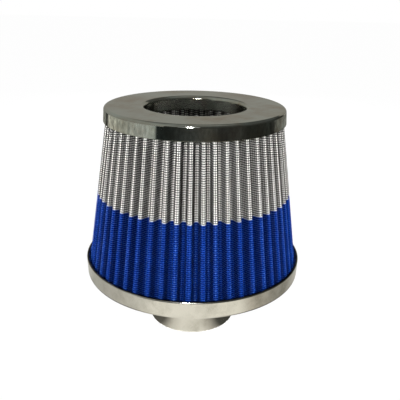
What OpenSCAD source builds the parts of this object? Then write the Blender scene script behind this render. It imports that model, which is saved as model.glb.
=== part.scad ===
// Open-top conical performance air filter: a pleated outer cone, an inverted pleated
// inner cone, pressed end covers and an inlet neck. It stands on the end of its neck,
// with the origin at the centre of that end and +Z along the axis.

/* [Overall] */
// Height from the end of the neck to the top face
total_h = 160; // [145:1:190]
// Outer diameter of the base cover at its rolled rim
base_d = 155; // [146:1:180]
// Outer diameter of the top cover at its hem
top_d = 124; // [120:1:134]
// Sheet thickness of the pressed covers
sheet_t = 1; // [0.8:0.1:1.4]

/* [Neck] */
// Outer diameter of the inlet neck
neck_d = 63; // [56:1:76]
// Wall of the neck tube
neck_wall = 1.5; // [1.2:0.1:2.5]
// Length of the neck below the base cover
neck_len = 40.5; // [30:0.5:50]
// Chamfer round the neck's outer end
neck_edge = 0.4; // [0.2:0.1:0.8]
// Depth of the shoulder on which the base cover sits
neck_step = 0.5; // [0.3:0.1:0.7]
// Radius of the neck's flared mouth, where it turns over the base cover
flare_r = 3; // [2.5:0.25:5]
// Width of the flat flange beyond the flare
flange_w = 4; // [3:0.5:8]

/* [Base cover] */
// Height of the rim, from the underside of the cover to the top of the rolled edge
rim_h = 12.5; // [10:0.5:16]
// How much narrower the rim is at its foot than at its rolled edge
rim_draft = 0.4; // [0.2:0.1:3]
// Radius of the bend between the cover's floor and its rim
rim_bend_r = 2; // [1.5:0.25:4]
// Radius of the rolled edge
rim_roll_r = 1; // [0.8:0.1:1.4]
// Depth of the seal poured in the base cover
base_seal_h = 7; // [5:0.5:8]
// Width of the base seal ring
base_seal_w = 17; // [14:0.5:22]

/* [Top cover] */
// Height of the outer skirt
skirt_h = 10; // [8:0.5:14]
// How much narrower the skirt is at its shoulder than at its hem
skirt_draft = 0.5; // [0.2:0.1:1.5]
// Radius of the bend between skirt and top face
shoulder_r = 2; // [1.5:0.25:4]
// Diameter of the open centre, inside the collar
open_d = 69; // [60:1:74]
// Radius of the rolled lip between top face and collar
lip_r = 2.5; // [1.5:0.25:4]
// Height of the inner collar
collar_h = 10; // [8:0.5:14]
// Radius of the hem along the skirt's lower edge
hem_r = 0.5; // [0.5:0.05:0.8]
// Depth of the seal poured in the top cover
top_seal_h = 5; // [3:0.5:6]

/* [Outer pleats] */
// Number of pleats round the outer cone
outer_pleats = 53; // [40:1:60]
// Depth of an outer pleat, from fold to fold of its front face
outer_depth = 6.5; // [4:0.5:8]
// Half width of a pleat's outer fold, as a share of the pitch
outer_fold_share = 0.235; // [0.21:0.005:0.26]
// Half width of a pleat's inner fold, as a share of the pitch
inner_fold_share = 0.17; // [0.15:0.005:0.19]
// How far a fold's edges stand back from its ridge
fold_round = 0.8; // [0.4:0.1:1.2]
// Uneven spacing of the folds, as a share of the pitch
scatter = 0.07; // [0:0.01:0.08]
// Angle of the first fold about the axis, close to the front
pleat_turn = -91.2; // [-95:0.1:-85]
// Height above the neck's end where the white gauze meets the blue
split_z = 100; // [80:0.5:130]

/* [Filter layers] */
// Thickness of each wire screen
screen_t = 0.3; // [0.2:0.05:0.35]
// Thickness of the outer cone's cotton gauze
gauze_t = 0.6; // [0.4:0.05:0.7]
// Thickness of the inner cone's cotton gauze
cone_gauze_t = 0.35; // [0.25:0.05:0.4]

/* [Inner cone] */
// Number of pleats round the inner cone
cone_pleats = 32; // [24:1:34]
// Depth of an inner pleat, from fold to fold of its front face
cone_depth = 4.5; // [3:0.5:6]
// Depth of the inner cone below the top face
cone_len = 72; // [55:1:80]
// How much the cone's radius shrinks from its top to its foot
cone_taper = 8; // [5:0.5:9]
// Depth of the cup that closes the inner cone
cup_h = 7; // [5:0.5:10]
// Radius of the bend between the cup's floor and wall
cup_bend_r = 2.5; // [2:0.25:3]
// Depth of the seal poured in the cup
cup_seal_h = 3; // [2.5:0.5:4]

/* [Fit] */
// Gap between the pleats and the covers round them
seat_gap = 0.3; // [0.2:0.05:0.5]
// Gap between neighbouring layers of a pack
layer_gap = 0.08; // [0.08:0.01:0.12]
// Thickness of the strips that close each pack's seam
strip_t = 0.8; // [0.5:0.1:1.2]
// Width of the seam strips
strip_w = 3.5; // [2.5:0.25:4]

/* [Hidden] */
$fn = 96;
arc_steps = 6;

// Colours
polished = [0.55, 0.55, 0.53];
satin = [0.75, 0.74, 0.7];
wire = [0.62, 0.62, 0.6];
white = [0.8, 0.79, 0.76];
blue = [0.03, 0.15, 0.6];
black = [0.08, 0.08, 0.08];

// Heights
plate_z = neck_len;
floor_z = plate_z + sheet_t;
rim_top_z = plate_z + rim_h;
rim_bend_z = plate_z + rim_bend_r;
rim_roll_z = rim_top_z - rim_roll_r;
skirt_low_z = total_h - skirt_h;
shoulder_z = total_h - shoulder_r;
lip_z = total_h - lip_r;
collar_low_z = total_h - collar_h;
pack_low_z = floor_z + base_seal_h;
pack_top_z = total_h - sheet_t - top_seal_h;
cone_low_z = total_h - cone_len;
cup_floor_z = cone_low_z - cup_seal_h;

// Radii of the covers
neck_r = neck_d / 2;
neck_seat_r = neck_r - neck_step;
rim_r = base_d / 2;
rim_foot_r = rim_r - rim_draft;
skirt_r = top_d / 2;
shoulder_x = skirt_r - skirt_draft - shoulder_r;
collar_r = open_d / 2;
collar_out_r = collar_r + sheet_t;
lip_x = collar_r + lip_r;

// Total thickness of each pack
pack_t = 2 * screen_t + gauze_t + 2 * layer_gap;
cone_pack_t = 2 * screen_t + cone_gauze_t + 2 * layer_gap;

// The outer cone's folds just clear the rolled rim below and the hem above
fold_low_r = rim_r - 2 * rim_roll_r - seat_gap;
fold_top_r = skirt_r - 2 * hem_r - seat_gap;
fold_slope = (fold_top_r - fold_low_r) / (skirt_low_z - rim_roll_z);
cone_slope = cone_taper / (collar_low_z - cone_low_z);
cup_r = cone_back_r(cone_low_z + cup_h) + strip_t + seat_gap;

// Radius of the outer cone's outer folds at height z
function outer_fold_r(z) = fold_low_r + fold_slope * (z - rim_roll_z);
// Radius of the back of the outer pack, at its inner folds
function outer_back_r(z) = outer_fold_r(z) - outer_depth - pack_t - layer_gap;
// Radius of the inner cone's folds that face the axis: they clear the collar
function cone_fold_r(z) = collar_out_r + seat_gap - cone_slope * (collar_low_z - z);
// Radius of the back of the inner pack, at its far folds
function cone_back_r(z) = cone_fold_r(z) + cone_depth + cone_pack_t + layer_gap;
// Radius of the inside of the base cover's drafted rim
function rim_wall_r(z) =
    rim_foot_r - sheet_t + rim_draft * (z - rim_bend_z) / (rim_roll_z - rim_bend_z);
// Radius of the inside of the top cover's drafted skirt
function skirt_wall_r(z) =
    skirt_r - sheet_t - skirt_draft * (z - skirt_low_z - hem_r) / (shoulder_z - skirt_low_z - hem_r);

// Points on an arc about [x, y], from angle a to angle b
function arc(x, y, r, a, b) =
    [for (k = [0:arc_steps]) let (t = a + (b - a) * k / arc_steps) [x + r * cos(t), y + r * sin(t)]];

function polar(r, angle) = r * [cos(angle), sin(angle)];

// Angle of fold k's ridge among n, a little out of step with its neighbours
function fold_angle(k, n) = pleat_turn + 360 / n * (k + scatter * (sin(k * 137) + sin(k * 71)) / 2);

// For each pleat, the angles of its ridge and of the valley that follows it
function pleat_angles(n) = [
    for (k = [0:n - 1])
        let (ridge = fold_angle(k, n), next = k == n - 1 ? fold_angle(0, n) + 360 : fold_angle(k + 1, n))
        [ridge, (ridge + next) / 2]
];

// A fold with its ridge between two edges
function fold(angle, half, edge_r, ridge_r) =
    [polar(edge_r, angle - half), polar(ridge_r, angle), polar(edge_r, angle + half)];

// The closed line of n pleats between two radii. Ridges and valleys are given as shares of
// the pitch, and their edges stand back from their ridges by back.
function ridged_line(n, out_r, in_r, out_share, in_share, back) = [
    for (pleat = pleat_angles(n))
        each concat(
            fold(pleat[0], out_share * 360 / n, out_r - back, out_r),
            fold(pleat[1], in_share * 360 / n, in_r + back, in_r)
        )
];

// The same pleats with flat folds, and their flanks in the same place
function flat_line(n, out_r, in_r, out_share, in_share, back) = [
    for (pleat = pleat_angles(n))
        let (
            out_half = out_share * 360 / n,
            in_half = in_share * 360 / n,
            flank = pleat[1] - pleat[0] - out_half - in_half,
            floor_half = in_half - flank * back / (out_r - in_r - 2 * back)
        )
        each [
            polar(out_r - back, pleat[0] - out_half), polar(out_r - back, pleat[0] + out_half),
            polar(in_r, pleat[1] - floor_half), polar(in_r, pleat[1] + floor_half)
        ]
];

function unit(v) = v / norm(v);
function left_of(v) = [-v[1], v[0]];

// A closed line moved sideways by d at each corner, towards the axis when d is positive
function inset(line, d) = [
    for (k = [0:len(line) - 1])
        let (
            before = line[(k + len(line) - 1) % len(line)],
            after = line[(k + 1) % len(line)],
            n1 = left_of(unit(line[k] - before)),
            n2 = left_of(unit(after - line[k])),
            mid = unit(n1 + n2)
        )
        line[k] + mid * d / (mid * n1)
];

function raised(line, z) = [for (p = line) [p[0], p[1], z]];

// The wall between a foot line and a top line, from depth d to depth d + t behind them
module pleated_wall(foot, top, foot_z, top_z, d, t) {
    n = len(foot);
    polyhedron(
        points = concat(
            raised(inset(foot, d), foot_z), raised(inset(foot, d + t), foot_z),
            raised(inset(top, d), top_z), raised(inset(top, d + t), top_z)
        ),
        faces = [
            for (k = [0:n - 1])
                let (m = (k + 1) % n)
                each [
                    [k, k + 2 * n, m + 2 * n], [k, m + 2 * n, m],
                    [k + n, m + n, m + 3 * n], [k + n, m + 3 * n, k + 3 * n],
                    [k, m, m + n, k + n],
                    [k + 2 * n, k + 3 * n, m + 3 * n, m + 2 * n]
                ]
        ],
        convexity = 20
    );
}

function screen_line(z) = ridged_line(
    outer_pleats, outer_fold_r(z), outer_fold_r(z) - outer_depth,
    outer_fold_share, inner_fold_share, fold_round
);
function gauze_line(z) = flat_line(
    outer_pleats, outer_fold_r(z), outer_fold_r(z) - outer_depth,
    outer_fold_share, inner_fold_share, fold_round
);
function cone_line(z) = flat_line(
    cone_pleats, cone_fold_r(z) + cone_depth, cone_fold_r(z), inner_fold_share, outer_fold_share, 0
);

// One layer behind the outer cone's screen
module outer_layer(foot_z, top_z, d, t) {
    pleated_wall(gauze_line(foot_z), gauze_line(top_z), foot_z, top_z, d, t);
}

// One layer of the inner cone, from depth d to depth d + t behind the face that looks at the axis
module cone_layer(d, t) {
    pleated_wall(cone_line(cone_low_z), cone_line(pack_top_z), cone_low_z, pack_top_z, -d - t, t);
}

// A strip along the back of a pleat, between two heights, from radius a to radius b at each
module strip(angle, low_z, low_a, low_b, high_z, high_a, high_b) {
    rotate([0, 0, angle]) rotate([90, 0, 0]) linear_extrude(strip_w, center = true)
        polygon([[low_a, low_z], [low_b, low_z], [high_b, high_z], [high_a, high_z]]);
}

// A pressed pan about the axis, with a hole, a bend and a wall that leans out to its rim
module pan(hole_r, low_z, foot_r, bend_r, rim_r, rim_z) {
    rotate_extrude() polygon(concat(
        [[hole_r, low_z]],
        arc(foot_r - bend_r, low_z + bend_r, bend_r, -90, 0),
        [[rim_r, rim_z], [rim_r - sheet_t, rim_z]],
        arc(foot_r - bend_r, low_z + bend_r, bend_r - sheet_t, 0, -90),
        [[hole_r, low_z + sheet_t]]
    ));
}

// What is poured into such a pan: it fills the bend and ends level
module pan_fill(hole_r, low_z, foot_r, bend_r, fill_r, fill_z) {
    rotate_extrude() polygon(concat(
        [[hole_r, fill_z], [hole_r, low_z + sheet_t]],
        arc(foot_r - bend_r, low_z + bend_r, bend_r - sheet_t, -90, 0),
        [[fill_r, fill_z]]
    ));
}

// The pressed top cover: skirt, shoulder, face, rolled lip and collar in one sheet
module top_cover() {
    color(polished) rotate_extrude() {
        polygon(concat(
            [[skirt_r, skirt_low_z + hem_r]],
            arc(shoulder_x, shoulder_z, shoulder_r, 0, 90),
            arc(lip_x, lip_z, lip_r, 90, 180),
            [[collar_r, collar_low_z], [collar_out_r, collar_low_z]],
            arc(lip_x, lip_z, lip_r - sheet_t, 180, 90),
            arc(shoulder_x, shoulder_z, shoulder_r - sheet_t, 90, 0),
            [[skirt_r - sheet_t, skirt_low_z + hem_r]]
        ));
        translate([skirt_r - hem_r, skirt_low_z + hem_r]) circle(hem_r, $fn = 24);
    }
}

// The seal that fills the top cover's channel and holds both packs
module top_seal() {
    color(black) rotate_extrude() polygon(concat(
        [[collar_out_r, pack_top_z]],
        arc(lip_x, lip_z, lip_r - sheet_t, 180, 90),
        arc(shoulder_x, shoulder_z, shoulder_r - sheet_t, 90, 0),
        [[skirt_wall_r(pack_top_z), pack_top_z]]
    ));
}

// The pressed base cover: a floor with a hole for the neck, and a rim with a rolled edge
module base_cover() {
    color(satin) {
        pan(neck_seat_r, plate_z, rim_foot_r, rim_bend_r, rim_r, rim_roll_z);
        rotate_extrude() translate([rim_r - rim_roll_r, rim_roll_z]) circle(rim_roll_r, $fn = 24);
    }
}

module base_seal() {
    color(black) pan_fill(
        rim_foot_r - rim_bend_r - base_seal_w, plate_z, rim_foot_r, rim_bend_r,
        rim_wall_r(pack_low_z), pack_low_z
    );
}

// The inlet neck: a tube with a shoulder under the base cover and a mouth flared out over its floor
module neck() {
    flare_x = neck_r - neck_wall + flare_r;
    flange_r = flare_x + flange_w;
    mouth_z = floor_z + neck_wall;
    color(satin) rotate_extrude() polygon(concat(
        [
            [neck_r - neck_wall, 0], [neck_r - neck_edge, 0], [neck_r, neck_edge],
            [neck_r, plate_z], [neck_seat_r, plate_z], [neck_seat_r, floor_z],
            [flange_r, floor_z], [flange_r, mouth_z]
        ],
        arc(flare_x, mouth_z - flare_r, flare_r, 90, 180)
    ));
}

module outer_screen() {
    color(wire) pleated_wall(
        screen_line(pack_low_z), screen_line(pack_top_z), pack_low_z, pack_top_z, 0, screen_t
    );
}

module white_gauze() {
    color(white) outer_layer(split_z, pack_top_z, screen_t + layer_gap, gauze_t);
}

module blue_gauze() {
    color(blue) outer_layer(pack_low_z, split_z, screen_t + layer_gap, gauze_t);
}

module backing_screen() {
    color(wire) outer_layer(pack_low_z, pack_top_z, pack_t - screen_t, screen_t);
}

// The strip that joins the ends of the outer pack, at the back of the filter
module seam_strip() {
    angle = pleat_angles(outer_pleats)[floor(outer_pleats / 2)][1];
    low_r = outer_back_r(pack_low_z);
    high_r = outer_back_r(pack_top_z);
    color(wire) strip(angle, pack_low_z, low_r - strip_t, low_r, pack_top_z, high_r - strip_t, high_r);
}

module cone_screen() {
    color(wire) cone_layer(0, screen_t);
}

module cone_gauze() {
    color(white) cone_layer(screen_t + layer_gap, cone_gauze_t);
}

module cone_backing_screen() {
    color(wire) cone_layer(cone_pack_t - screen_t, screen_t);
}

// The strip that joins the ends of the inner pack
module cone_seam_strip() {
    angle = pleat_angles(cone_pleats)[floor(cone_pleats / 2)][0];
    low_r = cone_back_r(cone_low_z);
    high_r = cone_back_r(pack_top_z);
    color(wire) strip(angle, cone_low_z, low_r, low_r + strip_t, pack_top_z, high_r, high_r + strip_t);
}

// The cup that closes the foot of the inner cone
module cone_cup() {
    color(polished) pan(
        0, cup_floor_z - sheet_t, cup_r + sheet_t, cup_bend_r, cup_r + sheet_t, cone_low_z + cup_h
    );
}

module cone_seal() {
    color(black) pan_fill(
        cone_fold_r(cone_low_z) - sheet_t, cup_floor_z - sheet_t, cup_r + sheet_t, cup_bend_r,
        cup_r, cone_low_z
    );
}

top_cover();
top_seal();
outer_screen();
white_gauze();
blue_gauze();
backing_screen();
seam_strip();
base_cover();
base_seal();
neck();
cone_screen();
cone_gauze();
cone_backing_screen();
cone_seam_strip();
cone_cup();
cone_seal();
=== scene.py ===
import math

import bpy
import numpy as np
from mathutils import Matrix, Vector


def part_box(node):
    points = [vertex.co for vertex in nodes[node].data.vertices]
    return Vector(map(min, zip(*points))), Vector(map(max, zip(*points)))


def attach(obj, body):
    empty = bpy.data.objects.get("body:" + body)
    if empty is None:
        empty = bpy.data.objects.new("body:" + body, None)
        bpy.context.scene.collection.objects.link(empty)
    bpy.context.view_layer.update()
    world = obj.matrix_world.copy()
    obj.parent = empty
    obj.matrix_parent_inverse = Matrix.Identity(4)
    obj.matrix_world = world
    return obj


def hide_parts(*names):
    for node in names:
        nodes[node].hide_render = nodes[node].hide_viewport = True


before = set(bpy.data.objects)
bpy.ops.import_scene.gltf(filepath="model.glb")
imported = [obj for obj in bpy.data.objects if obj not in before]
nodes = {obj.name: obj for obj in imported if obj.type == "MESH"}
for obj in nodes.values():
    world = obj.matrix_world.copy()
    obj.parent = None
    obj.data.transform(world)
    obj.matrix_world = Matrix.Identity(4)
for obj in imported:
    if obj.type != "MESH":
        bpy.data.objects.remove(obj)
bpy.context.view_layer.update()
mm = 0.001

print("frame loaded:", len(nodes), "nodes")


# meshes

def makePiece(name, points, quads, material, tris=None, uv=None, sharpAngle=35, **values):
    # points in millimetres, (n, 3); quads (m, 4) and tris (k, 3) index them; uv has one pair per point,
    # and each of the values, such as fold or raised, one number per point for the materials to read
    points = np.asarray(points, float).reshape(-1, 3) * mm
    quads = np.asarray(quads, int).reshape(-1, 4)
    tris = np.zeros((0, 3), int) if tris is None else np.asarray(tris, int).reshape(-1, 3)
    halves = np.concatenate([quads[:, [0, 1, 2]], quads[:, [0, 2, 3]], tris])
    a, b, c = (points[halves[:, k]] for k in range(3))
    # the sum is six times the volume, and negative if the faces point inwards
    if np.einsum("ij,ij->", a, np.cross(b, c)) < 0:
        quads, tris = quads[:, ::-1], tris[:, ::-1]
    loops = np.concatenate([quads.ravel(), tris.ravel()])
    sizes = np.concatenate([np.full(len(quads), 4), np.full(len(tris), 3)])
    starts = np.concatenate([[0], np.cumsum(sizes)[:-1]])
    mesh = bpy.data.meshes.new(name)
    mesh.vertices.add(len(points))
    mesh.vertices.foreach_set("co", points.astype(np.float32).ravel())
    mesh.loops.add(len(loops))
    mesh.loops.foreach_set("vertex_index", loops.astype(np.int32))
    mesh.polygons.add(len(sizes))
    mesh.polygons.foreach_set("loop_start", starts.astype(np.int32))
    mesh.polygons.foreach_set("use_smooth", np.ones(len(sizes), bool))
    mesh.update(calc_edges=True)
    if uv is not None:
        layer = mesh.uv_layers.new(name="wovenUv")
        layer.uv.foreach_set("vector", np.asarray(uv, np.float32)[loops].ravel())
    for key, value in values.items():
        layer = mesh.attributes.new(key, "FLOAT", "POINT")
        layer.data.foreach_set("value", np.asarray(value, np.float32).ravel())
    mesh.set_sharp_from_angle(angle=math.radians(sharpAngle))
    mesh.materials.append(material)
    piece = bpy.data.objects.new(name, mesh)
    bpy.context.scene.collection.objects.link(piece)
    return piece


def gridQuads(rows, cols, closedRows=False, closedCols=False, start=0):
    # cell (i, j) of a grid has the corners (i, j), (i, j + 1), (i + 1, j + 1) and (i + 1, j),
    # counted round where it is closed
    i, j = np.meshgrid(np.arange(rows if closedRows else rows - 1),
                       np.arange(cols if closedCols else cols - 1), indexing="ij")
    i2, j2 = (i + 1) % rows, (j + 1) % cols
    corners = [i * cols + j, i * cols + j2, i2 * cols + j2, i2 * cols + j]
    return start + np.stack(corners, -1).reshape(-1, 4)


def roundedOutline(corners, arcPoints, guard=0.12):
    # corners are (radius from the axis, height, rounding). Each becomes an arc that touches both its sides,
    # with a guard point just before and after it where there is room, so that flat stretches shade flat.
    corners = np.asarray(corners, float)
    at, rounding = corners[:, :2], corners[:, 2]
    back = np.roll(at, 1, 0) - at
    ahead = np.roll(at, -1, 0) - at
    backLength = np.linalg.norm(back, axis=1)
    aheadLength = np.linalg.norm(ahead, axis=1)
    back, ahead = back / backLength[:, None], ahead / aheadLength[:, None]
    half = np.arccos(np.clip((back * ahead).sum(1), -1, 1)) / 2
    reach = rounding / np.tan(half)
    inward = (back + ahead) / np.linalg.norm(back + ahead, axis=1)[:, None]
    middle = at + inward * (rounding / np.sin(half))[:, None]
    first, last = at + back * reach[:, None], at + ahead * reach[:, None]
    turn = np.linspace(0, 1, arcPoints)[None, :, None]
    a, b = first - middle, last - middle
    sweep = (math.pi - 2 * half)[:, None, None]
    spokes = np.sin((1 - turn) * sweep) * a[:, None] + np.sin(turn * sweep) * b[:, None]
    arcs = middle[:, None] + spokes / np.sin(sweep)
    room = np.minimum(guard, (aheadLength - reach - np.roll(reach, -1)) / 3)[:, None]
    before = (first + back * np.roll(room, 1, 0))[:, None]
    after = (last + ahead * room)[:, None]
    return np.concatenate([before, arcs, after], 1).reshape(-1, 2)


def lathe(name, corners, material, arcPoints=7, segments=288):
    # a closed outline carried round the axis: (radius cos a, radius sin a, height) for a full turn of a
    outline = roundedOutline(corners, arcPoints)
    turn = np.arange(segments) * 2 * math.pi / segments
    points = np.stack([outline[:, None, 0] * np.cos(turn), outline[:, None, 0] * np.sin(turn),
                       np.repeat(outline[:, 1:], segments, 1)], -1)
    return makePiece(name, points, gridQuads(len(outline), segments, True, True), material)


def finishPiece(piece, slotName, *replaced):
    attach(piece, "root")
    if replaced:
        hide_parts(*replaced)
    return piece


def paintNode(nodeName, material):
    nodes[nodeName].data.materials.clear()
    nodes[nodeName].data.materials.append(material)


# shader nodes

def addNode(tree, kind, settings=None, **links):
    # links are socket names, or in0, in1 ... for numbered sockets, with a socket or a value each
    node = tree.nodes.new(kind)
    for key, value in (settings or {}).items():
        setattr(node, key, value)
    for key, value in links.items():
        numbered = key.startswith("in") and key[2:].isdigit()
        socket = node.inputs[int(key[2:]) if numbered else key.replace("_", " ")]
        if isinstance(value, bpy.types.NodeSocket):
            tree.links.new(value, socket)
        else:
            socket.default_value = value
    return node


def groupNode(tree, group, **links):
    return addNode(tree, "ShaderNodeGroup", {"node_tree": group}, **links)


def math2(tree, operation, a, b=0.0, c=0.0):
    return addNode(tree, "ShaderNodeMath", {"operation": operation}, in0=a, in1=b, in2=c).outputs[0]


def mapRange(tree, value, low, high, toLow, toHigh):
    ends = {"From_Min": low, "From_Max": high, "To_Min": toLow, "To_Max": toHigh}
    return addNode(tree, "ShaderNodeMapRange", Value=value, **ends).outputs["Result"]


def mixColour(tree, factor, a, b):
    return addNode(tree, "ShaderNodeMix", {"data_type": "RGBA"}, in0=factor, in6=a, in7=b).outputs[2]


def scaledColour(tree, colour, factor):
    return addNode(tree, "ShaderNodeVectorMath", {"operation": "SCALE"}, in0=colour, in3=factor).outputs[0]


def objectPoint(tree):
    return addNode(tree, "ShaderNodeTexCoord").outputs["Object"]


def distance(tree, at):
    return addNode(tree, "ShaderNodeVectorMath", {"operation": "LENGTH"}, in0=at).outputs["Value"]


def fromAxis(tree, at):
    # the length of (x, y, 0)
    level = addNode(tree, "ShaderNodeVectorMath", {"operation": "MULTIPLY"}, in0=at, in1=(1, 1, 0))
    return distance(tree, level.outputs[0])


def pointValue(tree, name):
    settings = {"attribute_type": "GEOMETRY", "attribute_name": name}
    return addNode(tree, "ShaderNodeAttribute", settings).outputs["Fac"]


def addBump(tree, shader, height, strength, distanceUp):
    bump = addNode(tree, "ShaderNodeBump", Strength=strength, Distance=distanceUp, Height=height)
    tree.links.new(bump.outputs["Normal"], shader.inputs["Normal"])


# shader groups shared by the materials

def newGroup(name, inputs, outputs):
    group = bpy.data.node_groups.new(name, "ShaderNodeTree")
    face = group.interface
    for socketName, kind, value in inputs:
        face.new_socket(name=socketName, in_out="INPUT", socket_type=kind).default_value = value
    for socketName, kind in outputs:
        face.new_socket(name=socketName, in_out="OUTPUT", socket_type=kind)
    return group, group.nodes.new("NodeGroupInput"), group.nodes.new("NodeGroupOutput")


def buildSmudgeGroup():
    # handling marks: broad soft clouds and fine streaks that run level, both from 0 to 1
    group, inp, out = newGroup(
        "handlingMarks",
        [("Vector", "NodeSocketVector", (0, 0, 0)), ("Cloud Scale", "NodeSocketFloat", 25.0),
         ("Streak Scale", "NodeSocketFloat", 900.0)],
        [("Clouds", "NodeSocketFloat"), ("Streaks", "NodeSocketFloat")])
    at = inp.outputs["Vector"]
    clouds = addNode(group, "ShaderNodeTexNoise", Vector=at, Scale=inp.outputs["Cloud Scale"],
                     Detail=4.0, Roughness=0.6)
    spread = mapRange(group, clouds.outputs["Fac"], 0.35, 0.7, 0.0, 1.0)
    squeezed = addNode(group, "ShaderNodeMapping", {"vector_type": "POINT"}, Vector=at,
                       Scale=(0.08, 0.08, 1.0))
    streaks = addNode(group, "ShaderNodeTexNoise", Vector=squeezed.outputs[0],
                      Scale=inp.outputs["Streak Scale"], Detail=2.0)
    group.links.new(spread, out.inputs["Clouds"])
    group.links.new(streaks.outputs["Fac"], out.inputs["Streaks"])
    return group


def buildWeaveGroup():
    # a plain weave on millimetre coordinates. Each thread's height is the size of a sine across it, and the
    # sign of both sines' product says which thread lies on top.
    group, inp, out = newGroup(
        "plainWeave",
        [("Vector", "NodeSocketVector", (0, 0, 0)), ("Threads per mm", "NodeSocketFloat", 2.0)],
        [("Height", "NodeSocketFloat")])
    split = addNode(group, "ShaderNodeSeparateXYZ", Vector=inp.outputs["Vector"])
    scale = math2(group, "MULTIPLY", inp.outputs["Threads per mm"], math.pi)
    u, v = (math2(group, "SINE", math2(group, "MULTIPLY", split.outputs[axis], scale)) for axis in ("X", "Y"))
    over = math2(group, "MULTIPLY_ADD", math2(group, "SIGN", math2(group, "MULTIPLY", u, v)), 0.5, 0.5)
    height = addNode(group, "ShaderNodeMix", {"data_type": "FLOAT"}, in0=over,
                     in2=math2(group, "ABSOLUTE", u), in3=math2(group, "ABSOLUTE", v))
    group.links.new(height.outputs[0], out.inputs["Height"])
    return group


def buildPaintedFoldShadeGroup():
    # painted shade: a colour that darkens down the sides of the pleats, where the folds lie in shade
    group, inp, out = newGroup(
        "foldShade",
        [("Colour", "NodeSocketColor", (1, 1, 1, 1)), ("Fold", "NodeSocketFloat", 0.0),
         ("Start", "NodeSocketFloat", 0.5), ("Depth", "NodeSocketFloat", 0.8)],
        [("Colour", "NodeSocketColor")])
    steepest = 0.97
    share = addNode(group, "ShaderNodeMapRange", {"interpolation_type": "SMOOTHSTEP"},
                    Value=inp.outputs["Fold"], From_Min=inp.outputs["Start"], From_Max=steepest)
    lost = math2(group, "MULTIPLY", share.outputs["Result"], inp.outputs["Depth"])
    shaded = scaledColour(group, inp.outputs["Colour"], math2(group, "SUBTRACT", 1.0, lost))
    group.links.new(shaded, out.inputs["Colour"])
    return group


marks = buildSmudgeGroup()
weave = buildWeaveGroup()
foldShade = buildPaintedFoldShadeGroup()


# materials

def newMaterial(name, **settings):
    material = bpy.data.materials.new(name)
    material.use_nodes = True
    tree = material.node_tree
    shader = tree.nodes["Principled BSDF"]
    for key, value in settings.items():
        shader.inputs[key.replace("_", " ")].default_value = value
    return material, tree, shader


# the colour with painted shade down the sides of the pleats, by the fold attribute
def withPaintedFoldShade(tree, colour, start, depth):
    fold = pointValue(tree, "fold")
    return groupNode(tree, foldShade, Colour=colour, Fold=fold, Start=start, Depth=depth).outputs["Colour"]


metalMarks = {
    "streakScale": 1400.0,
    "streakHeight": 0.00002,
    "smudgeContrast": 1.6,
    "smudgeDulls": 2.2,  # times the clean metal's roughness
    "oil": (0.03, 0.03, 0.03, 1),
    "oilFade": 0.0003,  # metres in which it sets in
    "oilThinnest": 0.75,
    "dull": 0.2,
    "dullFade": 0.0006,
}


def polishedMetal(name, clean, smudged, roughness, cloudScale, streakBump, darkAbove=10.0, dullInside=0.0):
    # metal with faint warm smudges, where it also shines less, and fine lines round the axis. Above a height
    # in metres it has a painted dark reflection, for a rolled edge that mirrors a dark room, and within a
    # radius it is duller.
    v = metalMarks
    material, tree, shader = newMaterial(name, Metallic=1.0)
    at = objectPoint(tree)
    wear = groupNode(tree, marks, Vector=at, Cloud_Scale=cloudScale, Streak_Scale=v["streakScale"])
    smudge = math2(tree, "POWER", wear.outputs["Clouds"], v["smudgeContrast"])
    height = addNode(tree, "ShaderNodeSeparateXYZ", Vector=at).outputs["Z"]
    # painted dark reflection along the rolled edge, a little patchy with the clouds
    oiled = math2(tree, "MULTIPLY", mapRange(tree, height, darkAbove, darkAbove + v["oilFade"], 0.0, 1.0),
                  mapRange(tree, wear.outputs["Clouds"], 0.0, 0.5, v["oilThinnest"], 1.0))
    colour = mixColour(tree, smudge, (*clean, 1), (*smudged, 1))
    tree.links.new(mixColour(tree, oiled, colour, v["oil"]), shader.inputs["Base Color"])
    dull = mapRange(tree, fromAxis(tree, at), dullInside, dullInside + v["dullFade"], v["dull"], 0.0)
    shine = mapRange(tree, smudge, 0, 1, roughness, roughness * v["smudgeDulls"])
    tree.links.new(math2(tree, "MAXIMUM", shine, dull), shader.inputs["Roughness"])
    addBump(tree, shader, wear.outputs["Streaks"], streakBump, v["streakHeight"])
    return material


cottonLook = {
    "threadsPerMm": 2.2,
    "threadHeight": 0.0002,
    "bump": 0.5,
    "gap": 0.1,  # height in the weave that has the painted gap shade's colour
    "crest": 0.8,  # height that has the thread's colour
    "cloudScale": 45.0,
    "dimmest": 0.86,
    "foldStart": 0.72,
}


def cotton(name, thread, paintedGapShade, paintedShadeDepth, sheen=0.15):
    # woven gauze: the threads' height makes the bump, and the colour has painted shade in the gaps between
    # the threads and down the pleats' sides, and a soft unevenness
    v = cottonLook
    material, tree, shader = newMaterial(name, Roughness=0.9, Sheen_Weight=sheen, Specular_IOR_Level=0.05)
    uvMap = addNode(tree, "ShaderNodeUVMap", {"uv_map": "wovenUv"})
    cloth = groupNode(tree, weave, Vector=uvMap.outputs["UV"], Threads_per_mm=v["threadsPerMm"])
    wear = groupNode(tree, marks, Vector=objectPoint(tree), Cloud_Scale=v["cloudScale"])
    lit = mapRange(tree, cloth.outputs["Height"], v["gap"], v["crest"], 0.0, 1.0)
    # painted shade in the gaps between the threads
    base = mixColour(tree, lit, (*paintedGapShade, 1), (*thread, 1))
    uneven = mapRange(tree, wear.outputs["Clouds"], 0, 1, v["dimmest"], 1.0)
    colour = withPaintedFoldShade(tree, scaledColour(tree, base, uneven), v["foldStart"], paintedShadeDepth)
    tree.links.new(colour, shader.inputs["Base Color"])
    addBump(tree, shader, cloth.outputs["Height"], v["bump"], v["threadHeight"])
    return material


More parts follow.
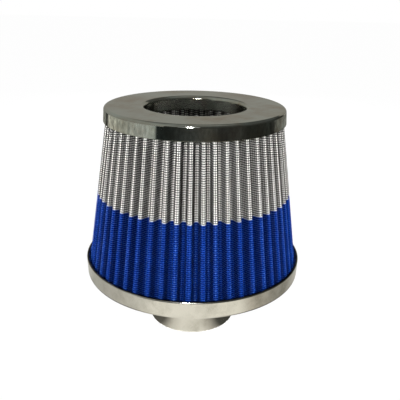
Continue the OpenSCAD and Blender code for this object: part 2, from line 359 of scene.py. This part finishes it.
wireLook = {
    "cloudScale": 180.0,
    "streakScale": 2500.0,
    "sunkShade": 0.5,  # painted shade: brightness where a wire dives under the next
    "proudLight": 1.3,  # painted light: brightness where it rides over it
    "ridgeEnd": 0.35,  # fold at which the painted ridge highlight ends
    "crossingContrast": 4.0,
    "leastRubbed": 0.3,
    "foldStart": 0.5,
    "streakDulls": 1.4,
}


def wirePaint(name, bright, dull, glintColour, paintedShadeDepth, roughness, gloss):
    # dipped wire, a little brighter and duller from place to place, with a painted highlight at the crossings
    # where it stands out on a ridge, painted light where it rides over the next wire, and painted shade where
    # it dives under it and down the pleats' sides
    v = wireLook
    material, tree, shader = newMaterial(name, Specular_IOR_Level=gloss)
    wear = groupNode(tree, marks, Vector=objectPoint(tree), Cloud_Scale=v["cloudScale"],
                     Streak_Scale=v["streakScale"])
    raised = pointValue(tree, "raised")
    colour = mixColour(tree, wear.outputs["Clouds"], (*bright, 1), (*dull, 1))
    # painted light where the wire rides over the next wire, painted shade where it dives under it
    colour = scaledColour(tree, colour, mapRange(tree, raised, 0.0, 1.0, v["sunkShade"], v["proudLight"]))
    # painted highlight on the ridge, where the wire rides over a crossing, patchy with the clouds
    ridge = mapRange(tree, pointValue(tree, "fold"), 0.0, v["ridgeEnd"], 1.0, 0.0)
    crossing = math2(tree, "POWER", raised, v["crossingContrast"])
    patchy = mapRange(tree, wear.outputs["Clouds"], 0.2, 0.7, 1.0, v["leastRubbed"])
    paintedGlint = math2(tree, "MULTIPLY", math2(tree, "MULTIPLY", ridge, crossing), patchy)
    colour = mixColour(tree, paintedGlint, colour, (*glintColour, 1))
    tree.links.new(withPaintedFoldShade(tree, colour, v["foldStart"], paintedShadeDepth), shader.inputs["Base Color"])
    dulled = mapRange(tree, wear.outputs["Streaks"], 0.3, 0.7, roughness, roughness * v["streakDulls"])
    tree.links.new(dulled, shader.inputs["Roughness"])
    return material


rubberLook = {
    "cloudScale": 60.0,
    "dimpleScale": 420.0,
    "dimpleBump": 0.3,
    "dimpleDepth": 0.0002,
    "smoothest": 0.55,
    "roughest": 0.75,
}


def pouredRubber(name, clean, dusty):
    # cast seal: matte, with small dimples where bubbles broke
    v = rubberLook
    material, tree, shader = newMaterial(name, Specular_IOR_Level=0.35)
    at = objectPoint(tree)
    clouds = groupNode(tree, marks, Vector=at, Cloud_Scale=v["cloudScale"]).outputs["Clouds"]
    dimples = addNode(tree, "ShaderNodeTexVoronoi", Vector=at, Scale=v["dimpleScale"])
    tree.links.new(mixColour(tree, clouds, (*clean, 1), (*dusty, 1)), shader.inputs["Base Color"])
    dulled = mapRange(tree, clouds, 0, 1, v["smoothest"], v["roughest"])
    tree.links.new(dulled, shader.inputs["Roughness"])
    addBump(tree, shader, dimples.outputs["Distance"], v["dimpleBump"], v["dimpleDepth"])
    return material


chrome = polishedMetal("chromeCover", clean=(0.63, 0.67, 0.61), smudged=(0.46, 0.38, 0.28), roughness=0.04,
                       cloudScale=42.0, streakBump=0.05, dullInside=0.0347)
satin = polishedMetal("satinSteel", clean=(0.83, 0.81, 0.755), smudged=(0.60, 0.58, 0.52), roughness=0.11,
                      cloudScale=60.0, streakBump=0.3, darkAbove=0.0525)
whiteCotton = cotton("whiteCotton", thread=(0.83, 0.82, 0.785), paintedGapShade=(0.55, 0.54, 0.51), paintedShadeDepth=0.62)
blueCotton = cotton("blueCotton", thread=(0.0005, 0.011, 0.115), paintedGapShade=(0.0003, 0.006, 0.055), paintedShadeDepth=0.3,
                    sheen=0.0)
# bare steel given a dark, non-metal colour as a painted reflection of the dark room it would mirror
steelWireDarkReflection = wirePaint("steelWireDarkReflection", bright=(0.05, 0.049, 0.045), dull=(0.025, 0.0245, 0.0225),
                      glintColour=(0.09, 0.088, 0.082), paintedShadeDepth=0.85, roughness=0.5, gloss=0.25)
blueUpright = wirePaint("blueUpright", bright=(0.003, 0.028, 0.205), dull=(0.002, 0.017, 0.125),
                        glintColour=(0.02, 0.09, 0.38), paintedShadeDepth=0.68, roughness=0.4, gloss=0.12)
blueHoop = wirePaint("blueHoop", bright=(0.007, 0.058, 0.37), dull=(0.003, 0.031, 0.22),
                     glintColour=(0.22, 0.42, 0.88), paintedShadeDepth=0.66, roughness=0.28, gloss=0.2)
blackSeal = pouredRubber("blackSeal", clean=(0.012, 0.012, 0.012), dusty=(0.0216, 0.0216, 0.0204))
print("materials made")


# sizes that the frame gives, in millimetres

def nodeBox(nodeName):
    low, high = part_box(nodeName)
    return np.array(low) / mm, np.array(high) / mm


coverLow, coverHigh = nodeBox("top_cover")
baseLow, baseHigh = nodeBox("base_cover")
neckHigh = nodeBox("neck")[1]
packLow, packHigh = nodeBox("outer_screen")
splitHeight = nodeBox("white_gauze")[0][2]
coneLow, coneHigh = nodeBox("cone_screen")
sheet = 1.0  # thickness of the pressed covers


# pressed covers

topCover = {
    "widest": coverHigh[0],  # outer radius at the hem
    "draft": 0.63,  # how much narrower the skirt would be at the top face
    "opening": 34.5,  # radius inside the collar
    "shoulder": 2.0,
    "lip": 2.5,
    "hem": 0.48,
    "collarEdge": 0.35,
}


def makeTopCover(v):
    top, low = coverHigh[2], coverLow[2]
    edge, shoulder = v["widest"], v["widest"] - v["draft"]
    corners = [
        (edge, low, v["hem"]), (shoulder, top, v["shoulder"]), (v["opening"], top, v["lip"]),
        (v["opening"], low, v["collarEdge"]), (v["opening"] + sheet, low, v["collarEdge"]),
        (v["opening"] + sheet, top - sheet, v["lip"] - sheet),
        (shoulder - sheet, top - sheet, v["shoulder"] - sheet), (edge - sheet, low, v["hem"]),
    ]
    return finishPiece(lathe("topCover", corners, chrome, arcPoints=9), "polished_steel", "top_cover")


baseCover = {
    "widest": baseHigh[0],
    "draft": 0.4,
    "bend": 2.0,
    "hole": 31.0,
    "holeEdge": 0.1,
    "roll": 1.0,  # radius of the rolled edge
    "rollTop": 0.98,  # its roundings: a full one would leave no stretch between two corners
    "rollFoot": 0.6,
    "rollBack": 0.4,
    "rollUnder": 0.2,
    "underInset": 0.3,
}


def makeBaseCover(v):
    top, low = baseHigh[2], baseLow[2]
    widest, foot = v["widest"], v["widest"] - v["draft"]
    back, under = widest - 2 * v["roll"], top - 2 * v["roll"]
    corners = [
        (v["hole"], low, v["holeEdge"]), (foot, low, v["bend"]), (widest, top - v["roll"], v["rollFoot"]),
        (widest, top, v["rollTop"]), (back, top, v["rollTop"]), (back, under, v["rollBack"]),
        (widest - sheet - v["underInset"], under, v["rollUnder"]),
        (foot - sheet, low + sheet, v["bend"] - sheet), (v["hole"], low + sheet, v["holeEdge"]),
    ]
    return finishPiece(lathe("baseCover", corners, satin, arcPoints=9), "satin_steel", "base_cover")


neckTube = {
    "outside": 31.5,
    "step": 0.5,  # depth of the shoulder under the base cover
    "wall": 1.5,
    "flare": 3.0,
    "boreEdge": 0.3,
    "endEdge": 0.4,
    "shoulderEdge": 0.05,
    "seatEdge": 0.02,
    "flangeFoot": 0.1,
    "flangeEdge": 0.3,
}


def makeNeck(v):
    plate, floor = baseLow[2], baseLow[2] + sheet
    inside, seat = v["outside"] - v["wall"], v["outside"] - v["step"]
    edge, top = neckHigh[0], neckHigh[2]
    corners = [
        (inside, 0.0, v["boreEdge"]), (v["outside"], 0.0, v["endEdge"]),
        (v["outside"], plate, v["shoulderEdge"]), (seat, plate, v["seatEdge"]), (seat, floor, v["seatEdge"]),
        (edge, floor, v["flangeFoot"]), (edge, top, v["flangeEdge"]), (inside, top, v["flare"]),
    ]
    return finishPiece(lathe("neckTube", corners, satin), "satin_steel", "neck")


makeTopCover(topCover)
makeBaseCover(baseCover)
makeNeck(neckTube)
print("covers and neck made")


# pleats

def pleatAngles(count, scatter, turn):
    # ridge k lies at turn + pitch * (k + scatter * (sin 137k + sin 71k) / 2), in degrees, and its valley
    # halfway to the next
    k = np.arange(count)
    wander = np.sin(np.radians(k * 137)) + np.sin(np.radians(k * 71))
    ridge = turn + 360 / count * (k + scatter * wander / 2)
    following = np.append(ridge[1:], ridge[0] + 360)
    return ridge, (ridge + following) / 2


def pleatLine(v, outRadius):
    # six corners a pleat: a ridge between two edges that stand back, and a valley floor the same
    ridge, valley = pleatAngles(v["count"], v["scatter"], v["turn"])
    pitch = 360 / v["count"]
    inRadius = outRadius - v["depth"]
    out, into = v["outShare"] * pitch, v["inShare"] * pitch
    angles = np.stack([ridge - out, ridge, ridge + out, valley - into, valley, valley + into], 1)
    radii = np.array([outRadius - v["round"], outRadius, outRadius - v["round"],
                      inRadius + v["round"], inRadius, inRadius + v["round"]])
    angles = np.radians(angles)
    return np.stack([radii * np.cos(angles), radii * np.sin(angles)], -1).reshape(-1, 2)


def inset(line, depth):
    # each corner of a closed line moved to the given distance from both its sides, towards the axis
    before = line - np.roll(line, 1, 0)
    after = np.roll(line, -1, 0) - line
    left = np.array([[0, 1], [-1, 0]])
    n1 = before @ left / np.linalg.norm(before, axis=1)[:, None]
    n2 = after @ left / np.linalg.norm(after, axis=1)[:, None]
    mid = (n1 + n2) / np.linalg.norm(n1 + n2, axis=1)[:, None]
    return line + mid * depth / (mid * n1).sum(1)[:, None]


def cutCorners(line, times):
    # each side of a closed line gives its points at one and three quarters, over and over, which rounds it
    for _ in range(times):
        following = np.roll(line, -1, 0)
        line = np.stack([0.75 * line + 0.25 * following, 0.25 * line + 0.75 * following], 1).reshape(-1, 2)
    return line


def packLine(v, z, depth, smoothing):
    # the pleats' line at a height, at a depth behind the front face. The pack is a cone: its radius is
    # radius + slope * (z - height).
    radius = v["radius"] + v["slope"] * (z - v["height"])
    return cutCorners(inset(pleatLine(v, radius), depth), smoothing)


def spacedEvenly(foot, top, count):
    # places on both lines at even distances along the line halfway between them
    middle = (foot + top) / 2
    step = np.linalg.norm(np.roll(middle, -1, 0) - middle, axis=1)
    along = np.concatenate([[0], np.cumsum(step)])
    wanted = np.linspace(0, along[-1], count, endpoint=False)
    place = np.interp(wanted, along, np.arange(len(middle) + 1))
    base = np.floor(place).astype(int) % len(middle)
    share = (place - np.floor(place))[:, None]
    following = (base + 1) % len(middle)
    return [line[base] * (1 - share) + line[following] * share for line in (foot, top)]


def ruledRows(foot, top, footHeight, topHeight, rows):
    # rows of points from the foot line to the top line, (rows, points, 3)
    share = np.linspace(0, 1, rows)[:, None, None]
    flat = foot[None] * (1 - share) + top[None] * share
    heights = np.broadcast_to(footHeight + (topHeight - footHeight) * share, (rows, len(foot), 1))
    return np.concatenate([flat, heights], 2)


def foldShare(points, along):
    # how far a line round the pack runs in or out there: the radial part of its direction, 0 on a ridge and
    # 1 down the side of a pleat
    out = points[..., :2] / np.linalg.norm(points[..., :2], axis=-1)[..., None]
    flat = along[..., :2]
    return np.abs((flat * out).sum(-1)) / np.linalg.norm(flat, axis=-1)


def pleatedLayer(name, v, depth, thickness, low, high, material, rows=6, smoothing=2):
    # a closed wall: its front face, its back face a thickness behind, and a strip across each end
    lines = [packLine(v, z, d, smoothing) for d in (depth, depth + thickness) for z in (low, high)]
    front = ruledRows(lines[0], lines[1], low, high, rows)
    back = ruledRows(lines[2], lines[3], low, high, rows)
    n = front.shape[1]
    points = np.concatenate([front.reshape(-1, 3), back.reshape(-1, 3)])
    k = np.arange(n)
    k2 = (k + 1) % n
    backStart = rows * n
    lastRow = (rows - 1) * n
    ends = np.concatenate([
        np.stack([k2, k, backStart + k, backStart + k2], 1),
        np.stack([lastRow + k, lastRow + k2, backStart + lastRow + k2, backStart + lastRow + k], 1)])
    face = gridQuads(rows, n, False, True)
    quads = np.concatenate([face, backStart + face[:, ::-1], ends])
    step = np.linalg.norm(np.roll(front[rows // 2], -1, 0) - front[rows // 2], axis=1)
    along = np.concatenate([[0], np.cumsum(step)[:-1]])
    uvFront = np.stack([np.broadcast_to(along, (rows, n)), front[:, :, 2]], -1).reshape(-1, 2)
    fold = foldShare(front, np.roll(front, -1, 1) - np.roll(front, 1, 1)).ravel()
    # the strip before it was pleated, in metres
    around = np.linalg.norm(np.roll(front, -1, 1) - front, axis=2).sum(1) * mm
    across = np.linalg.norm(np.diff(front, axis=0), axis=2).mean(1).sum() * mm
    cut = {"flat": (across, around.max()), "area": across * around.mean()}
    piece = makePiece(name, points, quads, material, uv=np.concatenate([uvFront, uvFront]),
                      fold=np.concatenate([fold, fold]), sharpAngle=60)
    return piece, cut


def wireCloth(name, v, depth, low, high, material, wiresRound, wiresUp, wire, upright):
    # woven wires on the pleated surface. Crossing (i, j) lies at wire i round and wire j up, and is raised or
    # sunk by the weave's height where i + j is even or odd. Each wire is a tube with three sides.
    foot, top = (packLine(v, z, depth, wire["smoothing"]) for z in (v["low"], v["high"]))
    foot, top = spacedEvenly(foot, top, wiresRound)
    levels = np.linspace(low, high, wiresUp)
    share = ((levels - v["low"]) / (v["high"] - v["low"]))[:, None, None]
    flat = foot[None] * (1 - share) + top[None] * share
    centre = np.concatenate([flat, np.broadcast_to(levels[:, None, None], (wiresUp, wiresRound, 1))], 2)
    along = np.roll(centre, -1, 1) - np.roll(centre, 1, 1)
    up = np.gradient(centre, axis=0)
    along /= np.linalg.norm(along, axis=2)[..., None]
    up /= np.linalg.norm(up, axis=2)[..., None]
    normal = np.cross(along, up) * v["facing"]
    sign = 1 - 2 * ((np.arange(wiresUp)[:, None] + np.arange(wiresRound)[None]) % 2)
    side, halfWidth = (along, wire["halfUpright"]) if upright else (up, wire["halfHoop"])
    lift = sign * (1 if upright else -1)
    fold = np.broadcast_to(foldShare(centre, along)[:, :, None], (wiresUp, wiresRound, 3))
    raised = np.broadcast_to(((1 + lift) / 2)[:, :, None], (wiresUp, wiresRound, 3))
    centre = centre + normal * (lift * wire["wave"])[..., None]
    turns = np.radians([90, 210, 330])
    ring = (centre[:, :, None] + wire["halfHeight"] * np.sin(turns)[:, None] * normal[:, :, None]
            + halfWidth / wire["cornerShare"] * np.cos(turns)[:, None] * side[:, :, None])
    tris = None
    if upright:  # one wire after the other, from foot to top, with an end face each way
        ring = ring.transpose(1, 0, 2, 3)
        fold, raised = fold.transpose(1, 0, 2), raised.transpose(1, 0, 2)
        starts = (np.arange(wiresRound) * wiresUp * 3)[:, None, None]
        one = gridQuads(wiresUp, 3, False, True)
        last = (wiresUp - 1) * 3
        tris = starts + np.array([[0, 1, 2], [last + 2, last + 1, last]])
    else:  # one hoop after the other
        starts = (np.arange(wiresUp) * wiresRound * 3)[:, None, None]
        one = gridQuads(wiresRound, 3, True, True)
    return makePiece(name, ring, starts + one, material, tris=tris, sharpAngle=180, fold=fold, raised=raised)


meshWire = {
    "halfUpright": 0.19,  # half the wires' width
    "halfHoop": 0.31,
    "halfHeight": 0.13,
    "wave": 0.07,
    "pitchRound": 1.6,
    "pitchUp": 1.45,
    "depth": 0.15,  # of the middle of the cloth behind the front face
    "smoothing": 3,
    "cornerShare": 0.866,  # of a tube's corner that its half width is
    "splitRise": 0.7,  # of a pitch from the colours' border to the first silver hoop
}


def wireCounts(v, wire, low, high):
    # an even number of wires round, so that the weave closes, and the hoops between two heights
    wiresRound = 2 * round(v["lengthRound"] / wire["pitchRound"] / 2)
    return wiresRound, round((high - low) / wire["pitchUp"]) + 1


outerPack = {
    "count": 53,
    "depth": 6.5,
    "outShare": 0.235,
    "inShare": 0.17,
    "round": 0.8,
    "scatter": 0.07,
    "turn": -91.2,
    "low": packLow[2],
    "high": packHigh[2],
    "radius": 75.2,  # of the ridges at the height below
    "height": 52,
    "slope": (60.7 - 75.2) / (150 - 52),  # change of radius for each millimetre up
    "facing": 1,
    "screen": 0.3,
    "gap": 0.08,
    "gauze": 0.6,
    "lengthRound": 910,  # along the pleats
}


def makeOuterPack(v, wire):
    behind = v["screen"] + v["gap"]
    for name, low, high, material, slotName, nodeName, seal in (
            ("whiteGauze", splitHeight, v["high"], whiteCotton, "white_cotton", "white_gauze", "top_seal"),
            ("blueGauze", v["low"], splitHeight, blueCotton, "blue_cotton", "blue_gauze", "base_seal")):
        gauze, cut = pleatedLayer(name, v, behind, v["gauze"], low, high, material)
        finishPiece(gauze, slotName, nodeName)
    above = splitHeight + wire["splitRise"] * wire["pitchUp"]
    for name, low, high, upMaterial, roundMaterial in (
            ("Silver", above, v["high"], steelWireDarkReflection, steelWireDarkReflection),
            ("Blue", v["low"], splitHeight, blueUpright, blueHoop)):
        counts = wireCounts(v, wire, low, high)
        for word, upright, material in (("uprights", True, upMaterial), ("hoops", False, roundMaterial)):
            piece = wireCloth(word + name, v, wire["depth"], low, high, material, *counts, wire, upright)
            finishPiece(piece, "wire_screen", "outer_screen")
            print(piece.name, len(piece.data.polygons), "faces")


makeOuterPack(outerPack, meshWire)

innerCone = {
    "count": 32,
    "depth": 4.5,
    "outShare": 0.17,
    "inShare": 0.235,
    "round": 0.4,
    "scatter": 0.07,
    "turn": -91.2,
    "low": coneLow[2],
    "high": coneHigh[2],
    "radius": 40.3,  # of the outer folds at the height below
    "height": 150,
    "slope": 8 / (150 - coneLow[2]),
    "facing": -1,
    "screen": 0.3,
    "gap": 0.08,
    "gauze": 0.35,
    "lengthRound": 480,
}


def makeInnerCone(v, wire):
    low, high = v["low"], v["high"]
    behind = v["screen"] + v["gap"]
    gauze, cut = pleatedLayer("coneGauze", v, -behind - v["gauze"], v["gauze"], low, high, whiteCotton)
    finishPiece(gauze, "white_cotton", "cone_gauze")
    counts = wireCounts(v, wire, low, high)
    for word, upright in (("coneUprights", True), ("coneHoops", False)):
        piece = wireCloth(word, v, -wire["depth"], low, high, steelWireDarkReflection, *counts, wire, upright)
        finishPiece(piece, "wire_screen", "cone_screen")


makeInnerCone(innerCone, meshWire)
print("packs made")

for nodeName, material in (
        ("backing_screen", steelWireDarkReflection), ("cone_backing_screen", steelWireDarkReflection), ("seam_strip", steelWireDarkReflection),
        ("cone_seam_strip", steelWireDarkReflection), ("top_seal", blackSeal), ("base_seal", blackSeal),
        ("cone_seal", blackSeal), ("cone_cup", chrome)):
    paintNode(nodeName, material)


# camera

view = {
    "target": (0.0046, 0.0, 0.0912),
    "place": (0.0046, -0.3624, 0.2284),
    "focalPixels": 536,
    "picturePixels": 400,
    "sensor": 36,
    "near": 0.01,
    "roll": 1.22,  # degrees, the top of the filter leans to the right
}


def aimed(place, target):
    # a matrix at a place, looking at a target
    look = (Vector(target) - Vector(place)).to_track_quat("-Z", "Y").to_matrix().to_4x4()
    return Matrix.Translation(place) @ look


def makeCamera(v):
    data = bpy.data.cameras.new("photoCamera")
    data.sensor_width = v["sensor"]
    data.lens = v["focalPixels"] / v["picturePixels"] * v["sensor"]
    data.clip_start = v["near"]
    camera = bpy.data.objects.new("photoCamera", data)
    camera.matrix_world = aimed(v["place"], v["target"]) @ Matrix.Rotation(math.radians(v["roll"]), 4, "Z")
    bpy.context.scene.collection.objects.link(camera)
    bpy.context.scene.camera = camera


makeCamera(view)


# floor, cards and light

def mirroredCard(name, points, faces, material):
    # a surface that only shiny things see
    mesh = bpy.data.meshes.new(name)
    mesh.from_pydata(points, [], faces)
    mesh.materials.append(material)
    card = bpy.data.objects.new(name, mesh)
    bpy.context.scene.collection.objects.link(card)
    card.visible_camera = card.visible_diffuse = card.visible_shadow = card.visible_transmission = False
    return card


def uprightCard(name, left, right, low, high, y, material):
    corners = [(left, y, low), (right, y, low), (right, y, high), (left, y, high)]
    return mirroredCard(name, corners, [(0, 1, 2, 3)], material)


def glowMaterial(name, colour=(0, 0, 0)):
    material = bpy.data.materials.new(name)
    material.use_nodes = True
    tree = material.node_tree
    tree.nodes.clear()
    glow = addNode(tree, "ShaderNodeEmission", Color=(*colour, 1))
    out = addNode(tree, "ShaderNodeOutputMaterial")
    tree.links.new(glow.outputs[0], out.inputs["Surface"])
    return material, tree, glow


def roundRamp(tree, share, stops):
    # colours round the axis; stops are (degrees from -Y towards +X, colour)
    ramp = addNode(tree, "ShaderNodeValToRGB", Fac=share)
    band = ramp.color_ramp
    for number, (angle, colour) in enumerate(stops):
        place = (angle + 180) / 360
        stop = band.elements[number] if number < 2 else band.elements.new(place)
        stop.position = place
        stop.color = (*colour, 1)
    return ramp.outputs["Color"]


def ringPoints(radius, height, fromAngle, toAngle, count):
    # points on a level circle, angles from -Y towards +X
    turn = np.radians(np.linspace(fromAngle, toAngle, count) - 90)
    return np.stack([radius * np.cos(turn), radius * np.sin(turn), np.full(count, height)], -1)


def roundCard(name, radius, height, material):
    edge = ringPoints(radius, height, 0, 355, 72)
    mirroredCard(name, edge.tolist(), [list(range(len(edge)))], material)


mirroredRoom = {
    "radius": 3.4,
    "height": 1.6,
    "floorHeight": 0.0005,
    "ceiling": (0.075, 0.078, 0.075),
    "ceilingLeft": (0.30, 0.305, 0.285),
    "leftFade": (-0.9, -0.35),
    "overhead": (0.24, 0.245, 0.235),  # the ceiling straight above
    "overheadFade": (0.5, 1.1),
    "wallAhead": (0.04, 0.041, 0.038),
    "wallFrom": -36,  # degrees from -Y towards +X
    "wallTo": 140,
    "wallColumns": 60,
    "wallInset": 0.01,
    "window": (-0.34, 0.12, 0.36, 0.9),  # left, right, low and high edge
    "windowPlace": -1.0,  # a metre in front
    "windowGlow": (0.30, 0.31, 0.32),
    "cloudScale": 11.0,
    "spotScale": 30.0,
    "nearEdge": 0.098,  # what lies within it shows in the neck
    "nearFade": 0.012,
    "ringEdge": 0.158,  # and within this in the base cover's rim, the rest in the top cover's skirt
    "ringFade": 0.004,
    "near": [
        (-180, (0.42, 0.41, 0.36)), (-150, (0.30, 0.29, 0.26)), (-132, (0.07, 0.07, 0.06)),
        (-75, (0.07, 0.07, 0.06)), (-48, (0.12, 0.115, 0.10)), (-30, (0.62, 0.60, 0.53)),
        (-14, (0.80, 0.78, 0.70)), (14, (0.80, 0.78, 0.70)), (28, (0.50, 0.48, 0.42)),
        (46, (0.08, 0.08, 0.07)), (75, (0.06, 0.06, 0.055)), (132, (0.07, 0.07, 0.06)),
        (150, (0.30, 0.29, 0.26)), (180, (0.42, 0.41, 0.36))],
    "ring": [
        (-180, (0.55, 0.54, 0.49)), (-118, (0.60, 0.60, 0.56)), (-95, (0.42, 0.42, 0.38)),
        (-75, (0.43, 0.42, 0.38)), (-42, (0.60, 0.59, 0.53)), (-28, (0.86, 0.84, 0.76)),
        (36, (0.82, 0.80, 0.71)), (48, (0.52, 0.49, 0.42)), (72, (0.32, 0.31, 0.27)),
        (95, (0.36, 0.35, 0.31)), (120, (0.52, 0.51, 0.46)), (180, (0.55, 0.54, 0.49))],
    "skirt": [
        (-180, (0.30, 0.30, 0.27)), (-140, (0.24, 0.24, 0.21)), (-137, (0.05, 0.05, 0.045)),
        (-131, (0.05, 0.05, 0.045)), (-126, (0.50, 0.47, 0.41)), (-112, (0.47, 0.45, 0.39)),
        (-92, (0.39, 0.39, 0.35)), (-60, (0.45, 0.46, 0.44)), (-47, (0.45, 0.48, 0.45)),
        (-44, (0.02, 0.024, 0.023)), (-30, (0.016, 0.019, 0.018)), (0, (0.052, 0.054, 0.052)),
        (16, (0.075, 0.073, 0.065)), (32, (0.03, 0.031, 0.03)), (52, (0.045, 0.045, 0.042)),
        (68, (0.022, 0.023, 0.02)), (100, (0.028, 0.03, 0.026)), (109, (0.03, 0.03, 0.028)),
        (114, (0.14, 0.142, 0.13)), (150, (0.22, 0.22, 0.20))],
}


def makeMirroredFloor(v):
    material, tree, glow = glowMaterial("mirroredFloor")
    at = objectPoint(tree)
    split = addNode(tree, "ShaderNodeSeparateXYZ", Vector=at)
    angle = math2(tree, "ARCTAN2", split.outputs["X"], math2(tree, "MULTIPLY", split.outputs["Y"], -1.0))
    share = math2(tree, "MULTIPLY_ADD", angle, 0.5 / math.pi, 0.5)
    away = distance(tree, at)
    clouds = addNode(tree, "ShaderNodeTexNoise", Vector=at, Scale=v["cloudScale"], Detail=3.0).outputs["Fac"]
    spots = addNode(tree, "ShaderNodeTexNoise", Vector=at, Scale=v["spotScale"], Detail=2.0).outputs["Fac"]
    uneven = math2(tree, "MULTIPLY", mapRange(tree, clouds, 0.3, 0.7, 0.55, 1.45),
                   mapRange(tree, spots, 0.3, 0.7, 0.6, 1.4))
    mottled = scaledColour(tree, roundRamp(tree, share, v["skirt"]), uneven)
    inner = mixColour(tree, mapRange(tree, away, v["nearEdge"], v["nearEdge"] + v["nearFade"], 0, 1),
                      roundRamp(tree, share, v["near"]), roundRamp(tree, share, v["ring"]))
    colour = mixColour(tree, mapRange(tree, away, v["ringEdge"], v["ringEdge"] + v["ringFade"], 0, 1),
                       inner, mottled)
    tree.links.new(colour, glow.inputs["Color"])
    roundCard("mirroredFloor", v["radius"], v["floorHeight"], material)


def makeMirroredRoom(v):
    material, tree, glow = glowMaterial("ceilingGlow")
    at = objectPoint(tree)
    left = addNode(tree, "ShaderNodeSeparateXYZ", Vector=at).outputs["X"]
    toRight = mapRange(tree, left, *v["leftFade"], 0, 1)
    dark = mixColour(tree, toRight, (*v["ceilingLeft"], 1), (*v["ceiling"], 1))
    away = mapRange(tree, fromAxis(tree, at), *v["overheadFade"], 0, 1)
    tree.links.new(mixColour(tree, away, (*v["overhead"], 1), dark), glow.inputs["Color"])
    roundCard("mirroredCeiling", v["radius"], v["height"], material)
    count = v["wallColumns"]
    foot = ringPoints(v["radius"] - v["wallInset"], 0.0, v["wallFrom"], v["wallTo"], count)
    wall = np.concatenate([foot, foot + [0, 0, v["height"]]])
    k = np.arange(count - 1)
    faces = np.stack([k, k + 1, k + 1 + count, k + count], 1)
    mirroredCard("wallAhead", wall.tolist(), faces.tolist(), glowMaterial("darkWall", v["wallAhead"])[0])
    uprightCard("window", *v["window"], v["windowPlace"], glowMaterial("windowGlow", v["windowGlow"])[0])


paleFloor = {
    "half": 6,
    "colour": (0.9, 0.9, 0.9, 1),
    "seenWhite": 0.985,  # how much of what the camera sees of it is plain white
}


def makeFloor(v):
    material, tree, shader = newMaterial("paleFloor", Roughness=0.9, Specular_IOR_Level=0.1)
    shader.inputs["Base Color"].default_value = v["colour"]
    seen = addNode(tree, "ShaderNodeLightPath").outputs["Is Camera Ray"]
    glow = addNode(tree, "ShaderNodeEmission", Color=(1, 1, 1, 1), Strength=1.0)
    both = addNode(tree, "ShaderNodeMixShader", in0=math2(tree, "MULTIPLY", seen, v["seenWhite"]),
                   in1=shader.outputs[0], in2=glow.outputs[0])
    tree.links.new(both.outputs[0], tree.nodes["Material Output"].inputs["Surface"])
    mesh = bpy.data.meshes.new("floor")
    half = v["half"]
    corners = [(-half, -half, 0), (half, -half, 0), (half, half, 0), (-half, half, 0)]
    mesh.from_pydata(corners, [], [(0, 1, 2, 3)])
    mesh.materials.append(material)
    floor = bpy.data.objects.new("floor", mesh)
    bpy.context.scene.collection.objects.link(floor)


softRoom = {
    "fill": 0.06,  # strength of the light from all round
    "mirrored": (0.54, 0.53, 0.48, 1),
    "mirroredStrength": 0.55,
}


def makeWorld(v):
    world = bpy.data.worlds.new("softRoom")
    bpy.context.scene.world = world
    world.use_nodes = True
    tree = world.node_tree
    dim = tree.nodes["Background"]
    dim.inputs["Color"].default_value = (1, 1, 1, 1)
    dim.inputs["Strength"].default_value = v["fill"]
    room = addNode(tree, "ShaderNodeBackground", Color=v["mirrored"], Strength=v["mirroredStrength"])
    white = addNode(tree, "ShaderNodeBackground", Color=(1, 1, 1, 1), Strength=1.0)
    path = addNode(tree, "ShaderNodeLightPath")
    shiny = addNode(tree, "ShaderNodeMixShader", in0=path.outputs["Is Glossy Ray"],
                    in1=dim.outputs[0], in2=room.outputs[0])
    both = addNode(tree, "ShaderNodeMixShader", in0=path.outputs["Is Camera Ray"],
                   in1=shiny.outputs[0], in2=white.outputs[0])
    tree.links.new(both.outputs[0], tree.nodes["World Output"].inputs["Surface"])


# place, aim, diameter in metres, watts, and whether it is seen in the metal
lamps = {
    "frontLamp": ((-0.07, -0.85, 0.46), (0, 0, 0.09), 0.12, 9.0, True),
    "leftLamp": ((-0.86, -0.16, 0.36), (0, 0, 0.1), 0.3, 10.8, False),
    "rightLamp": ((0.86, -0.16, 0.36), (0, 0, 0.1), 0.3, 11.4, False),
    "backLamp": ((0.0, 0.95, 0.30), (0, 0, 0.1), 0.3, 9.0, False),
    "topLamp": ((0.05, 0.6, 1.0), (0, 0, 0.1), 0.5, 5.0, False),
}


def areaLight(name, place, target, size, watts, shines):
    data = bpy.data.lights.new(name, "AREA")
    data.shape = "DISK"
    data.size = size
    data.energy = watts
    lamp = bpy.data.objects.new(name, data)
    lamp.matrix_world = aimed(place, target)
    lamp.visible_glossy = shines
    bpy.context.scene.collection.objects.link(lamp)


flagCard = {
    "halfWidth": 0.09,
    "place": -0.12,
    "low": 0.194,
    "high": 0.32,
}


def makeFlag(v):
    # it only keeps the front lamp's light out of the opening
    flag = uprightCard("flag", -v["halfWidth"], v["halfWidth"], v["low"], v["high"], v["place"],
                       glowMaterial("flagCloth")[0])
    flag.visible_glossy = False
    flag.visible_shadow = True


makeFloor(paleFloor)
makeWorld(softRoom)
makeMirroredFloor(mirroredRoom)
makeMirroredRoom(mirroredRoom)
for name, values in lamps.items():
    areaLight(name, *values)
makeFlag(flagCard)

bpy.context.scene.view_settings.view_transform = "Standard"
print("camera and light made")
